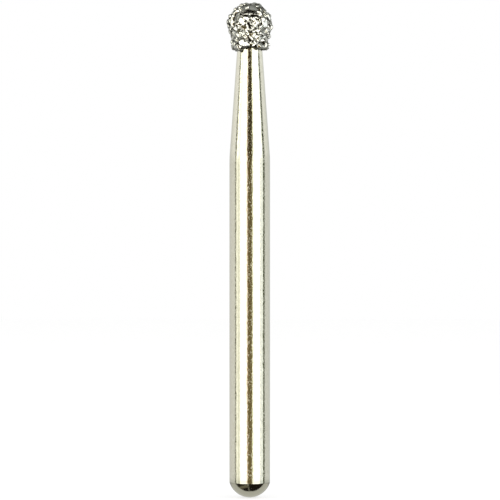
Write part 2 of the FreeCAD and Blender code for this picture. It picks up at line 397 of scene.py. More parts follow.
@dataclass(frozen=True)
class PaperFloor:
    """Matt white paper that the lens and shiny metal see as white, with its shadows kept."""

    colour: Colour = (0.96, 0.96, 0.96)
    fibres: Clouds = Clouds(3000.0, (0.75, 0.9))
    own_share: float = 0.75

    def material(self) -> bpy.types.Material:
        """Build the finish.

        Returns:
            The material.
        """
        material, wiring = new_material("paper_floor")
        place = wiring.add("ShaderNodeTexCoord").outputs["Object"]
        rough = self.fibres.place(wiring, place)["Value"]
        paper = wiring.add("ShaderNodeBsdfPrincipled", {"Base Color": self.colour, "Roughness": rough})
        glow = wiring.add("ShaderNodeEmission", {"Color": WHITE, "Strength": 1.0})
        rays = wiring.add("ShaderNodeLightPath").outputs
        seen = wiring.maths("MAXIMUM", rays["Is Camera Ray"], rays["Is Glossy Ray"])
        seen = wiring.maths("MAXIMUM", seen, rays["Is Transmission Ray"])
        share = wiring.maths("MULTIPLY", seen, self.own_share)
        mixed = wiring.add("ShaderNodeMixShader", {0: share, 1: paper.outputs[0], 2: glow.outputs[0]})
        wiring.add("ShaderNodeOutputMaterial", {"Surface": mixed.outputs[0]})
        return material


# Objects and meshes


def put(name: str, data: bpy.types.ID) -> bpy.types.Object:
    """Put an object in the scene.

    Args:
        name: The object's name.
        data: The mesh, lamp or camera that it shows.

    Returns:
        The object.
    """
    made = bpy.data.objects.new(name, data)
    bpy.context.scene.collection.objects.link(made)
    return made


@dataclass
class TurnedMesh:
    """A closed mesh made of rings of vertices round the Z axis, from one point on it to another."""

    name: str
    rings: Array
    first: float
    last: float
    crease: float | None = None

    def make(self) -> bpy.types.Object:
        """Make the object, with quads between the rings and a fan at each end.

        Returns:
            The object, smooth shaded and in the scene.
        """
        rows, columns = self.rings.shape[:2]
        points = np.vstack([self.rings.reshape(-1, 3), [(0, 0, self.first), (0, 0, self.last)]]) * MM
        here = np.arange(columns)
        after = np.roll(here, -1)
        start, end, top = rows * columns, rows * columns + 1, (rows - 1) * columns
        faces = []
        for low in range(0, top, columns):
            high = low + columns
            faces += np.stack([low + here, low + after, high + after, high + here], axis=1).tolist()
        faces += np.stack([np.full(columns, start), after, here], axis=1).tolist()
        faces += np.stack([np.full(columns, end), top + here, top + after], axis=1).tolist()
        mesh = bpy.data.meshes.new(self.name)
        mesh.from_pydata(points.tolist(), [], faces)
        mesh.shade_smooth()
        if self.crease is not None:
            mesh.set_sharp_from_angle(angle=math.radians(self.crease))
        return put(self.name, mesh)


def arc_points(centre: Span, radius: float, start: float, end: float, count: int) -> list[Span]:
    """Points along an arc of a half section, between angles that turn upward from straight outward."""
    turns = np.linspace(start, end, count)
    return [(centre[0] + radius * math.cos(turn), centre[1] + radius * math.sin(turn)) for turn in turns]


def turn_section(section: Array, columns: int) -> Array:
    """Turn a half section round the Z axis.

    Args:
        section: Points, each a distance from the axis and a height.
        columns: Number of points round the axis.

    Returns:
        A ring of points for each point of the section.
    """
    angles = np.linspace(0, 2 * math.pi, columns, endpoint=False)
    across, height = section.T
    level = [np.outer(across, part) for part in (np.cos(angles), np.sin(angles))]
    return np.stack([*level, np.outer(height, np.ones(columns))], axis=2)


def eased_step(share: Array) -> Array:
    """Smooth step from 0 to 1, held at both ends."""
    share = np.clip(share, 0, 1)
    return share * share * (3 - 2 * share)


# The steel blank


@dataclass
class SteelBlank:
    """Turned blank: domed butt end, plain shank, tapered neck, and the core under the coating."""

    shank_radius: float = 0.8
    dome_height: float = 0.6
    edge_radius: float = 0.08
    corner_height: float = 13.35
    turn_radius: float = 6.0
    neck_radius: float = 0.49
    core_base: float = 17.71
    core_collar_radius: float = 0.55
    core_ball_radius: float = 0.68
    ball_height: float = 18.59
    columns: int = 256
    core_points: int = 18
    dome_points: int = 26
    edge_points: int = 7
    shank_rings: int = 12
    turn_points: int = 9
    neck_rings: int = 7
    crease: float = 35.0

    @property
    def taper(self) -> float:
        """Slope of the neck's side, in radians from the axis."""
        return math.atan2(self.shank_radius - self.neck_radius, self.core_base - self.corner_height)

    def core_section(self) -> list[Span]:
        """Half section of the core, from the neck's end to just short of the tip.

        Returns:
            Points, each a distance from the axis and a height.
        """
        drop = math.sqrt(self.core_ball_radius**2 - self.core_collar_radius**2)
        start = math.atan2(-drop, self.core_collar_radius)
        centre = (0, self.ball_height)
        ball = arc_points(centre, self.core_ball_radius, start, math.pi / 2, self.core_points)
        rim = [(radius, self.core_base) for radius in (self.neck_radius, self.core_collar_radius)]
        return [*rim, *ball[:-1]]

    def butt_section(self) -> list[Span]:
        """Half section of the dome and of the broken edge between it and the shank.

        Returns:
            Points, each a distance from the axis and a height.
        """
        sphere = (self.shank_radius**2 + self.dome_height**2) / (2 * self.dome_height)
        inner = sphere - self.edge_radius
        across = self.shank_radius - self.edge_radius
        up = sphere - math.sqrt(inner**2 - across**2)
        meeting = math.atan2(up - sphere, across)
        dome = arc_points((0, sphere), sphere, -math.pi / 2, meeting, self.dome_points)
        edge = arc_points((across, up), self.edge_radius, meeting, 0, self.edge_points)
        return [*dome[1:], *edge[1:]]

    def section(self) -> list[Span]:
        """Half section of the whole blank, from the dome to just short of the tip.

        Returns:
            Points, each a distance from the axis and a height.
        """
        start = self.corner_height - self.turn_radius * math.tan(self.taper / 2)
        centre = (self.shank_radius - self.turn_radius, start)
        turn = arc_points(centre, self.turn_radius, 0, self.taper, self.turn_points)
        butt = self.butt_section()
        heights = np.linspace(butt[-1][1], start, self.shank_rings)[1:-1]
        shank = [(self.shank_radius, height) for height in heights]
        across, height = turn[-1]
        neck = [
            (across + share * (self.neck_radius - across), height + share * (self.core_base - height))
            for share in np.linspace(0, 1, self.neck_rings)[1:-1]
        ]
        return [*butt, *shank, *turn, *neck, *self.core_section()]

    def build(self) -> bpy.types.Object:
        """Build and dress the blank.

        Returns:
            The finished piece.
        """
        rings = turn_section(np.array(self.section()), self.columns)
        tip = self.ball_height + self.core_ball_radius
        piece = TurnedMesh("ground_blank", rings, 0.0, tip, self.crease).make()
        piece.data.materials.append(GroundSteel().material())
        return piece


# The head


@dataclass
class Crystal:
    """One blocky diamond: a box with its corners cut off, turned and drawn out along its own axes."""

    NEARLY_ZERO = 1e-9

    centre: Array
    half_sizes: Array
    turned: Array

    @staticmethod
    def faces() -> tuple[Array, Array]:
        """Faces of the unit form, six square ones and eight across the corners.

        Returns:
            Their outward directions, and their distances from the form's centre.
        """
        signs = (-1.0, 1.0)
        square = [np.eye(3)[axis] * sign for axis in range(3) for sign in signs]
        corner = [np.array((x, y, z)) / math.sqrt(3) for x in signs for y in signs for z in signs]
        distances = [1 / math.sqrt(2)] * len(square) + [math.sqrt(2 / 3)] * len(corner)
        return np.array(square + corner), np.array(distances)

    def leave(self, starts: Array, ways: Array) -> Array:
        """How far along each ray the crystal is left behind.

        Args:
            starts: Start of each ray.
            ways: Direction of each ray.

        Returns:
            The distance for each ray, or minus infinity where the ray misses the crystal.
        """
        outward, reach = self.faces()
        to_unit = self.turned.T / self.half_sizes[:, None]
        start, way = (starts - self.centre) @ to_unit.T, ways @ to_unit.T
        speed = way @ outward.T
        level = np.abs(speed) < self.NEARLY_ZERO
        crossing = (reach - start @ outward.T) / np.where(level, self.NEARLY_ZERO, speed)
        out = np.where(speed > 0, crossing, np.inf).min(axis=1)
        into = np.where(speed < 0, crossing, -np.inf).max(axis=1)
        return np.where(into < out, out, -np.inf)


@dataclass
class DiamondHead:
    """Plated head: grit on a golden-angle spiral, held in nickel round the blank's ball and collar."""

    ball_height: float = 18.59
    ball_radius: float = 0.82
    collar_radius: float = 0.69
    rim_height: float = 17.57
    rim_bevel: float = 0.09
    neck_radius: float = 0.498
    grit_size: float = 0.22
    grit_exposure: float = 0.09
    grit_gap: float = 0.005
    least_stretch: float = 0.85
    growth: Span = (1.45, 2.5)
    growth_sunk: float = 0.85
    drift: float = 0.022
    small_count: int = 45
    small_sizes: Span = (0.03, 0.075)
    small_lowest: float = 0.05
    groove: float = 0.02
    groove_fade: float = 0.15
    waist_fill: float = 0.05
    waist_fill_reach: float = 0.16
    waist_drop: float = 0.44
    waist_span: float = 0.7
    lowest_ray: float = 0.2
    hem_reach: float = 0.45
    # Painted shade: a dark band over the lower rim, by its height over the hem, its fade and its greatest
    # share.
    hem_line: float = 0.06
    hem_fade: float = 0.04
    hem_shade: float = 0.6
    ripple_waves: int = 28
    ripple_lengths: Span = (0.06, 0.16)
    ripple_height: float = 0.002
    run_marks: int = 9
    run_unevenness: float = 0.12
    run_fullness: float = 1.5
    run_cover: float = 0.9
    # Crevices are painted dark, as painted shade, up to this depth; the lowest part of the head, up to a
    # height and over a fade, is left without it.
    crevice_depth: float = 0.016
    unshaded_rim: Span = (0.14, 0.05)
    columns: int = 440
    rows: int = 196
    seed: int = 18

    DEPTH = "depth"
    GOLDEN_ANGLE = math.pi * (3 - math.sqrt(5))
    SPACING_SHARE = 0.945
    FIRST_AREA_SHARE = 1.5
    WALK_SHARE = 0.05
    BEVEL_SHARE = 0.3
    BALL_POINTS = 200
    FINE_STEP, COARSE_STEP = 0.001, 0.01
    # Steps of the fine outline on each side, and where the easing starts over the rim and how it fades.
    EASING_STEPS, EASING_FROM, EASING_FADE = 120, 0.25, 0.1
    # How often the hem, the filling, the skin and the ground for the crevices are evened out.
    HEM_TIMES, FILL_TIMES, SKIN_TIMES, CREVICE_TIMES = 12, 4, 1, 24
    # Middle, half sizes and turns of each stray crystal.
    STRAYS = (
        ((0.765, -0.06, 17.82), (0.035, 0.06, 0.09), (0, -30, 0)),
        ((-0.33, -0.1, 19.35), (0.12, 0.1, 0.07), (-40, -18, 30)),
        ((0.36, -0.05, 19.36), (0.13, 0.09, 0.07), (-40, 20, 10)),
        ((-0.14, -0.03, 19.38), (0.15, 0.1, 0.09), (-45, -5, 20)),
        ((0.04, -0.03, 19.36), (0.14, 0.1, 0.08), (-45, 0, 40)),
        ((0.22, -0.03, 19.38), (0.16, 0.1, 0.09), (-45, 6, -15)),
        ((-0.82, -0.05, 18.7), (0.1, 0.12, 0.15), (0, 8, -75)),
        ((0.73, -0.05, 18.14), (0.12, 0.12, 0.13), (0, 18, 60)),
        ((0.825, -0.05, 18.5), (0.08, 0.12, 0.13), (0, 5, 75)),
        ((0.75, -0.05, 18.92), (0.08, 0.12, 0.12), (0, 30, 70)),
        ((-0.745, -0.05, 18.91), (0.12, 0.12, 0.12), (0, -30, 70)),
        ((-0.545, -0.05, 19.175), (0.1, 0.12, 0.12), (0, -45, 20)),
    )
    # Two ends, reach and rise over the bond of each run of nickel.
    RUNS = (
        ((-0.65, -0.44, 18.53), (-0.65, -0.4, 18.83), 0.1, 0.085),
        ((-0.65, -0.4, 18.83), (-0.58, -0.37, 19.0), 0.09, 0.095),
        ((-0.58, -0.37, 19.0), (-0.42, -0.44, 19.1), 0.08, 0.08),
        ((-0.36, -0.73, 18.74), (-0.2, -0.79, 18.6), 0.11, 0.07),
        ((0.18, -0.8, 18.72), (0.28, -0.77, 18.58), 0.09, 0.07),
    )
    # The same for each pit, whose rise is nothing or less; each pit is also painted dark as painted shade.
    PITS = (
        ((-0.2, -0.7, 18.9), (-0.12, -0.71, 18.9), 0.1, -0.02),
        ((0.07, -0.72, 18.9), (0.3, -0.67, 18.88), 0.11, -0.02),
        ((-0.1, -0.62, 19.08), (0.12, -0.63, 19.07), 0.075, -0.01),
        ((-0.24, -0.64, 19.0), (0.27, -0.63, 18.98), 0.1, -0.01),
        ((-0.38, -0.6, 18.97), (-0.26, -0.66, 18.9), 0.07, -0.01),
        ((0.32, -0.66, 18.88), (0.42, -0.62, 18.82), 0.07, -0.01),
        ((-0.05, -0.8, 18.56), (0.01, -0.78, 18.42), 0.08, -0.02),
        ((-0.26, -0.67, 18.23), (0.05, -0.7, 18.29), 0.08, 0.0),
        ((-0.04, -0.68, 18.04), (0.02, -0.68, 17.9), 0.08, -0.01),
    )
    # Middle, radius and extra depth of each patch where the grit lies deep in the nickel.
    BARE_PATCHES = (
        ((-0.58, -0.52, 18.88), 0.36, 0.16),
        ((0.0, -0.48, 19.15), 0.46, 0.09),
        ((-0.6, -0.15, 19.1), 0.35, 0.07),
    )
    # How far the lower rim is drawn up, by degrees round the axis from the camera's side.
    HEM = (
        (-180, 0.03), (-135, 0.1), (-90, 0.05), (-45, 0.0), (-5, 0.13),
        (30, 0.07), (60, 0.03), (120, 0.1), (180, 0.03),
    )

    def outline(self, step: float) -> Array:
        """Points along the bond's half section, from the tip to the neck.

        Args:
            step: Distance between two points.

        Returns:
            Points, each a distance from the axis and a height.
        """
        low = -math.acos(self.collar_radius / self.ball_radius)
        corner = self.rim_bevel * self.BEVEL_SHARE
        corners = [
            *arc_points((0, self.ball_height), self.ball_radius, math.pi / 2, low, self.BALL_POINTS),
            (self.collar_radius, self.rim_height + self.rim_bevel),
            (self.collar_radius - corner, self.rim_height + corner),
            (self.collar_radius - self.rim_bevel, self.rim_height),
            (self.neck_radius, self.rim_height),
        ]
        corners = np.array(corners)
        passed = np.concatenate([[0], np.cumsum(np.linalg.norm(np.diff(corners, axis=0), axis=1))])
        marks = np.linspace(0, passed[-1], max(2, round(passed[-1] / step) + 1))
        return np.stack([np.interp(marks, passed, corners[:, axis]) for axis in (0, 1)], axis=1)

    def large_grit(self) -> Iterator[Crystal]:
        """The crystals that give the head its size, in the places that they have in the solid model.

        Yields:
            One crystal after another, from the tip to the rim.
        """
        radius, sunk = self.grit_size / 2, self.grit_size / 2 - self.grit_exposure
        area_each = ((self.grit_size + self.grit_gap) / self.SPACING_SHARE) ** 2
        step = radius * self.WALK_SHARE
        points = self.outline(step)
        points = points[points[:, 1] > self.rim_height + self.rim_bevel - step]
        along = np.diff(points, axis=0)
        inward = np.stack([along[:, 1], -along[:, 0]], axis=1) / np.linalg.norm(along, axis=1)[:, None]
        places = (points[1:] + points[:-1]) / 2 + inward * sunk
        chance, growth = random.Random(self.seed), random.Random(self.seed + 2)
        passed, placed = 0.0, 0
        for before, place, dip in zip(places, places[1:], inward[1:]):
            passed += 2 * math.pi * place[0] * math.dist(place, before) / area_each
            if passed < placed + self.FIRST_AREA_SHARE:
                continue
            turn = placed * self.GOLDEN_ANGLE
            centre = np.array((place[0] * math.cos(turn), place[0] * math.sin(turn), place[1]))
            half_sizes = np.array([radius * chance.uniform(self.least_stretch, 1) for _ in range(3)])
            axis = Vector([chance.gauss(0, 1) for _ in range(3)])
            spin = Quaternion(axis, math.radians(chance.uniform(0, 360)))
            grown = growth.uniform(*self.growth)
            sink = np.array((dip[0] * math.cos(turn), dip[0] * math.sin(turn), dip[1]))
            drift = np.array([growth.gauss(0, self.drift) for _ in range(3)])
            centre += drift - sink * (drift @ sink)
            centre += sink * ((grown - 1) * radius * self.growth_sunk + self._pressed(centre))
            yield Crystal(centre, half_sizes * grown, np.array(spin.to_matrix()))
            placed += 1

    def _pressed(self, place: Array) -> float:
        """How much deeper than the others a crystal lies, for its place on the head."""
        return max(
            depth * min(1.0, 2 * max(0.0, 1 - math.dist(place, middle) / radius))
            for middle, radius, depth in self.BARE_PATCHES
        )

    def stray_grit(self) -> Iterator[Crystal]:
        """Crystals that stand off the spiral, at the places where the head's edge is uneven.

        Yields:
            One crystal after another.
        """
        for centre, half_sizes, turns in self.STRAYS:
            spin = Euler([math.radians(turn) for turn in turns]).to_matrix()
            yield Crystal(np.array(centre), np.array(half_sizes), np.array(spin))

    def small_grit(self) -> Iterator[Crystal]:
        """Broken bits of grit that lie between the large crystals.

        Yields:
            One crystal after another.
        """
        chance = random.Random(self.seed + 1)
        points = self.outline(self.COARSE_STEP)
        points = points[points[:, 1] > self.rim_height + self.small_lowest]
        for _ in range(self.small_count):
            across, height = chance.choices(points, weights=points[:, 0])[0]
            turn = chance.uniform(0, 2 * math.pi)
            centre = np.array((across * math.cos(turn), across * math.sin(turn), height))
            half_sizes = np.array([chance.uniform(*self.small_sizes) for _ in range(3)])
            spin = Euler([chance.uniform(0, math.tau) for _ in range(3)]).to_matrix()
            yield Crystal(centre, half_sizes, np.array(spin))

    def rays(self) -> tuple[Array, Array, Array]:
        """Rays from the axis through the bond's surface, one for each vertex of the skin.

        Returns:
            The starts and directions of the rays, and the distance of the bond's surface along each.
        """
        surface = self._eased(self.outline(self.FINE_STEP))
        surface = surface[np.linspace(0, len(surface) - 1, self.rows + 1).astype(int)][1:]
        passed = np.concatenate([[0], np.cumsum(np.linalg.norm(np.diff(surface, axis=0), axis=1))])
        waist = passed[np.argmax(surface[:, 1] < self.ball_height - self.waist_drop)]
        share = eased_step((passed - waist + self.waist_span / 2) / self.waist_span)
        level = np.maximum(surface[:, 1], self.rim_height + self.lowest_ray)
        starts = np.zeros((self.rows, self.columns, 3))
        starts[..., 2] = (self.ball_height + share * (level - self.ball_height))[:, None]

        ends = turn_section(surface, self.columns)
        reach = eased_step((self.rim_height + self.hem_reach - surface[:, 1]) / self.hem_reach)
        ends[..., 2] += reach[:, None] * self._hem()[None, :]
        distance = np.linalg.norm(ends - starts, axis=2)
        return starts, (ends - starts) / distance[..., None], distance

    def _eased(self, surface: Array) -> Array:
        """Draw the nickel back between the crystals and let it run into the corner of the waist.

        Args:
            surface: The bond's outline, point by point.

        Returns:
            The eased outline.
        """
        kernel = np.hanning(2 * self.EASING_STEPS + 1)
        kernel /= kernel.sum()
        eased = np.stack([np.convolve(part, kernel, mode="same") for part in surface.T], axis=1)
        over_rim = surface[:, 1] - self.rim_height
        middle = np.clip((over_rim - self.EASING_FROM) / self.EASING_FADE, 0, 1)
        middle *= np.clip((self.ball_height - surface[:, 1]) / self.EASING_FADE, 0, 1)
        surface = surface + middle[:, None] * (eased - surface)
        along = np.gradient(surface, axis=0)
        inward = np.stack([along[:, 1], -along[:, 0]], axis=1) / np.linalg.norm(along, axis=1)[:, None]
        ends = np.clip((surface[:, 1] - self.rim_height) / self.groove_fade, 0, 1)[:, None]
        waist = self.ball_height - math.sqrt(self.ball_radius**2 - self.collar_radius**2)
        filled = self.waist_fill * np.exp(-(((surface[:, 1] - waist) / self.waist_fill_reach) ** 2))
        return surface + inward * (self.groove * ends - filled[:, None])

    def _hem(self) -> Array:
        """Even out the drawn-up lower rim.

        Returns:
            How far it is drawn up at each column of the skin.
        """
        angles = np.linspace(0, 2 * math.pi, self.columns, endpoint=False)
        places, rises = zip(*self.HEM)
        rise = np.interp((np.degrees(angles) + 90 + 180) % 360 - 180, places, rises)
        for _ in range(self.HEM_TIMES):
            rise = (np.roll(rise, 1) + 2 * rise + np.roll(rise, -1)) / 4
        return rise

    @staticmethod
    def _blur(values: Array, times: int) -> Array:
        """Even values out with their neighbours, round the axis and along it.

        Args:
            values: A value for each row and column.
            times: How often they are evened out.

        Returns:
            The evened values.
        """
        for _ in range(times):
            padded = np.vstack([values[:1], values, values[-1:]])
            values = (padded[:-2] + 2 * padded[1:-1] + padded[2:]) / 4
            values = (np.roll(values, 1, axis=1) + 2 * values + np.roll(values, -1, axis=1)) / 4
        return values

    def _ripple(self, points: Array) -> Array:
        """Small unevenness of the plating.

        Args:
            points: Points by row and column.

        Returns:
            A value for each point, between about -1 and 1.
        """
        chance = np.random.default_rng(self.seed)
        total = np.zeros(points.shape[:-1])
        for _ in range(self.ripple_waves):
            way = chance.normal(size=3)
            way *= 2 * math.pi / (np.linalg.norm(way) * chance.uniform(*self.ripple_lengths))
            total += np.sin(points @ way + chance.uniform(0, 2 * math.pi))
        return total / math.sqrt(self.ripple_waves)

    def _run_over(self, skin: Array, bond: Array, points: Array) -> tuple[Array, Array]:
        """Skin with the runs of nickel laid over it and the pits sunk into it.

        Args:
            skin: Distance of the skin along each ray.
            bond: Distance of the bond's surface along each ray.
            points: Points of the bond's surface.

        Returns:
            The new distance of the skin along each ray, and how much of a pit lies there, from 0 to 1, as
            a mask for painted shade.
        """
        uneven = 1 + self.run_unevenness * self._ripple(points)
        pits = np.zeros(skin.shape)
        for start, end, reach, rise in (*self.RUNS, *self.PITS):
            line = np.linspace(start, end, self.run_marks)
            away = np.min([np.linalg.norm(points - place, axis=2) for place in line], axis=0) * uneven
            share = np.clip(self.run_fullness * (1 - away / reach), 0, 1)
            skin = skin + self.run_cover * share * (bond + rise - skin)
            # Each pit is also painted dark, as painted shade, whichever way it faces.
            if rise <= 0:
                pits = np.maximum(pits, share)
        return skin, pits

    def skin(self) -> tuple[Array, Array]:
        """Outer surface of the head, and how deep each point lies between its neighbours, as a mask for
        painted shade.

        Returns:
            Points by row and column, and depths from 0, open, to 1, deep in a crevice, with the pits and
            the band along the lower rim added as painted shade.
        """
        starts, ways, bond = self.rays()
        distance = bond.copy()
        for crystal in [*self.large_grit(), *self.small_grit(), *self.stray_grit()]:
            offset = crystal.centre - starts
            near = np.linalg.norm(offset - (offset * ways).sum(axis=2)[..., None] * ways, axis=2)
            rows, columns = np.nonzero(near < crystal.half_sizes.max())
            left = crystal.leave(starts[rows, columns], ways[rows, columns])
            distance[rows, columns] = np.maximum(distance[rows, columns], left)
        filled = np.maximum(distance, self._blur(distance, self.FILL_TIMES))
        evened = self._blur(filled, self.SKIN_TIMES)
        skin, pits = self._run_over(evened, bond, starts + ways * bond[..., None])
        skin = skin + self.ripple_height * self._ripple(starts + ways * skin[..., None])
        # Painted shade: the deeper a point lies below its evened neighbours, and the more of a pit lies
        # there, the darker it is painted.
        sunk = self._blur(skin, self.CREVICE_TIMES) - skin
        depth = np.maximum(np.clip(sunk / self.crevice_depth, 0, 1), pits)
        points = starts + ways * skin[..., None]
        unshaded_from, unshaded_fade = self.unshaded_rim
        depth *= np.clip((points[..., 2] - self.rim_height - unshaded_from) / unshaded_fade, 0, 1)
        # Painted shade: a dark band just over the lower rim, in place of the dark reflection under it.
        hem = self.rim_height + self._hem() + self.hem_line - points[..., 2]
        return points, np.maximum(depth, np.clip(hem / self.hem_fade, 0, self.hem_shade))

    def build(self, blank: SteelBlank) -> bpy.types.Object:
        """Build and dress the head as one closed body, hollow where the blank fills it.

        Args:
            blank: The blank that the head sits on.

        Returns:
            The finished piece.
        """
        skin, depth = self.skin()
        inside = turn_section(np.array(blank.core_section()[::2]), self.columns)
        rings = np.concatenate([skin, inside])[::-1]
        core_top = blank.ball_height + blank.core_ball_radius
        piece = TurnedMesh("diamond_head", rings, core_top, float(skin[0, :, 2].mean())).make()
        # The depth attribute carries the painted shade of the crevices, the pits and the band along the
        # lower rim.
        values = np.concatenate([depth, np.zeros(inside.shape[:2])])[::-1].ravel()
        attribute = piece.data.attributes.new(self.DEPTH, "FLOAT", "POINT")
        attribute.data.foreach_set("value", np.concatenate([values, [0.0, 0.0]]).astype(np.float32))
        piece.data.materials.append(PlatedGrit().material())
        return piece


# Camera, light and floor


@dataclass(frozen=True)
class PhotoCamera:
    """Camera level with the middle of the bur, straight in front of it."""

    across: float = 0.01
    distance: float = 100.0
    height: float = 9.732
    lens: float = 182.95
    sensor: float = 36.0
    clip: Span = (0.001, 10.0)

    def build(self) -> None:
        """Make the camera and hand it to the scene."""
        data = bpy.data.cameras.new("photo_camera")
        data.lens, data.sensor_width = self.lens, self.sensor
        data.clip_start, data.clip_end = self.clip
        camera = put("photo_camera", data)
        camera.location = (self.across * MM, -self.distance * MM, self.height * MM)
        camera.rotation_euler = (math.pi / 2, 0.0, 0.0)
        bpy.context.scene.camera = camera


@dataclass(frozen=True)
class Panel:
    """An upright strip of the light tent, between two directions from the bur.

    Degrees run from the camera's side, with the right-hand side of the picture positive.
    """

    start: float
    end: float
    colour: Colour


@dataclass(frozen=True)
class LightTent:
    """White tent with bright panels in front and a dark gap between them, and plain light for matt things.

    A turn is in degrees round from the camera's side, and a rise in degrees over the level.
    """

    panels: tuple[Panel, ...] = (
        Panel(-180, -90.4, (1.04, 1.04, 1.01)),
        Panel(-90.4, -83.8, (0.08, 0.08, 0.025)),
        Panel(-83.8, -70.0, (1.70, 1.70, 1.50)),
        Panel(-70.0, -57.4, (1.22, 1.22, 1.05)),
        Panel(-57.4, -16.4, (2.6, 2.55, 2.3)),
        Panel(-16.4, -13.5, (1.5, 1.0, 0.7)),
        Panel(-13.5, 14.5, (0.19, 0.147, 0.066)),
        Panel(14.5, 17.0, (0.9, 0.95, 0.45)),
        Panel(17.0, 61.0, (2.6, 2.55, 2.3)),
        Panel(61.0, 69.0, (1.12, 1.18, 1.25)),
        Panel(69.0, 81.2, (1.66, 1.74, 1.7)),
        Panel(81.2, 93.4, (0.07, 0.085, 0.025)),
        Panel(93.4, 180, (0.99, 1.01, 0.99)),
    )
    edge: float = 0.9
    scale: float = 3.8
    front_floor: Colour = (0.02, 0.016, 0.01)
    back_floor: Colour = (0.79, 0.79, 0.74)
    front_ceiling: Colour = (0.05, 0.045, 0.035)
    back_ceiling: Colour = (0.43, 0.44, 0.415)
    slit: Colour = (1.3, 1.3, 1.1)
    streak: Colour = (0.24, 0.22, 0.15)
    # Where the front ends, from -1 at the camera to 1 at the back, and how much farther back at the sides.
    front_limit: Span = (-0.09, -0.05)
    front_widening: float = 0.15
    # Share of the walls by rise, in front and at the back.
    over_floor: tuple[Fade, Fade] = ((-29.0, -27.0, 0.0, 1.0), (-26.0, -3.0, 0.0, 1.0))
    under_ceiling: tuple[Fade, Fade] = ((45.0, 55.0, 1.0, 0.0), (16.0, 34.0, 1.0, 0.0))
    # A bright slit in the front floor, and a faint streak on the left that fades past it.
    slit_turn: float = -11.0
    slit_fade: Fade = (0.8, 2.0, 1.0, 0.0)
    streak_rise: float = -52.0
    streak_half: Span = (3.0, 10.0)
    streak_fade: Fade = (-12.0, -3.0, 1.0, 0.0)
    # The dark gap widens and dims upward.
    gap_middle: float = 1.0
    gap_half: Span = (10.5, 13.5)
    gap_reach: float = 30.0
    gap_widening: Fade = (3.0, 13.0, 1.0, 0.88)
    gap_dimming: Fade = (-6.0, 12.0, 1.4, 0.4)
    # The bright panels are brighter off their level, and the sides beyond them are darker.
    level_rise: float = 4.0
    panel_half: Span = (57.0, 61.0)
    panel_fade: Fade = (12.0, 20.0, 1.0, 1.55)
    side_half: Span = (10.5, 14.0)
    side_fade: Fade = (75.0, 115.0, 0.5, 0.14)
    back_fade: Fade = (105.0, 170.0, 1.0, 0.74)
    # The tapered neck sees the sides higher up: lighter near the panels, then darker, then lighter.
    neck_rise: Span = (3.0, 9.0)
    neck_middle: float = -1.5
    neck_level: float = 1.7
    neck_half: Span = (76.2, 79.8)
    neck_fade: Fade = (88.0, 92.0, 0.6, 1.27)
    plain_strength: float = 1.0
    lamp_place: Triple = (110.0, -90.0, 130.0)
    lamp_size: float = 90.0
    lamp_power: float = 0.1

    def _walls(self, wiring: Wiring, turn: Socket, rise: Socket) -> Socket:
        """Colour of the tent's walls.

        Args:
            wiring: The world's wiring.
            turn: Degrees round from the camera's side.
            rise: Degrees over the level.

        Returns:
            The colour, over the tent's scale.
        """
        narrowed = wiring.maths("MULTIPLY", turn, wiring.remap(rise, *self.gap_widening))
        in_front = wiring.maths("LESS_THAN", wiring.maths("ABSOLUTE", turn), self.gap_reach)
        inputs = {0: in_front, 2: turn, 3: narrowed}
        turn = wiring.add("ShaderNodeMix", inputs, data_type="FLOAT").outputs[0]
        share = wiring.maths("MULTIPLY_ADD", turn, 1 / 360, 0.5)
        ramp = wiring.add("ShaderNodeValToRGB", {0: share})
        marks = [
            (mark / 360 + 0.5, panel.colour)
            for panel in self.panels
            for mark in (panel.start + self.edge / 2, panel.end - self.edge / 2)
        ]
        stops = ramp.color_ramp.elements
        for place, _ in marks[1:-1]:
            stops.new(place)
        for stop, (place, colour) in zip(stops, marks):
            stop.position, stop.color = place, (*self._scaled(colour), 1.0)
        inputs = {0: ramp.outputs["Color"], "Scale": self._level(wiring, turn, rise)}
        return wiring.add("ShaderNodeVectorMath", inputs, operation="SCALE").outputs[0]

    def _level(self, wiring: Wiring, turn: Socket, rise: Socket) -> Socket:
        """How bright the walls are against their panels' colours.

        Args:
            wiring: The world's wiring.
            turn: Degrees round from the camera's side.
            rise: Degrees over the level.

        Returns:
            The factor for the panels' colours.
        """
        away = wiring.apart(turn, self.gap_middle)
        off_level = wiring.apart(rise, self.level_rise)
        from_middle = wiring.apart(turn, self.neck_middle)
        outside = wiring.remap(from_middle, *self.neck_fade)
        raised = wiring.remap(from_middle, *self.neck_half, self.neck_level, outside)
        level_side = wiring.remap(rise, *self.neck_rise, 1.0, raised)
        off_side = wiring.remap(away, *self.side_fade)
        beside = wiring.remap(off_level, *self.side_half, level_side, off_side)
        beside = wiring.maths("MULTIPLY", beside, wiring.remap(away, *self.back_fade))
        panel = wiring.remap(off_level, *self.panel_fade)
        outer = wiring.remap(away, *self.panel_half, panel, beside)
        return wiring.remap(away, *self.gap_half, wiring.remap(rise, *self.gap_dimming), outer)

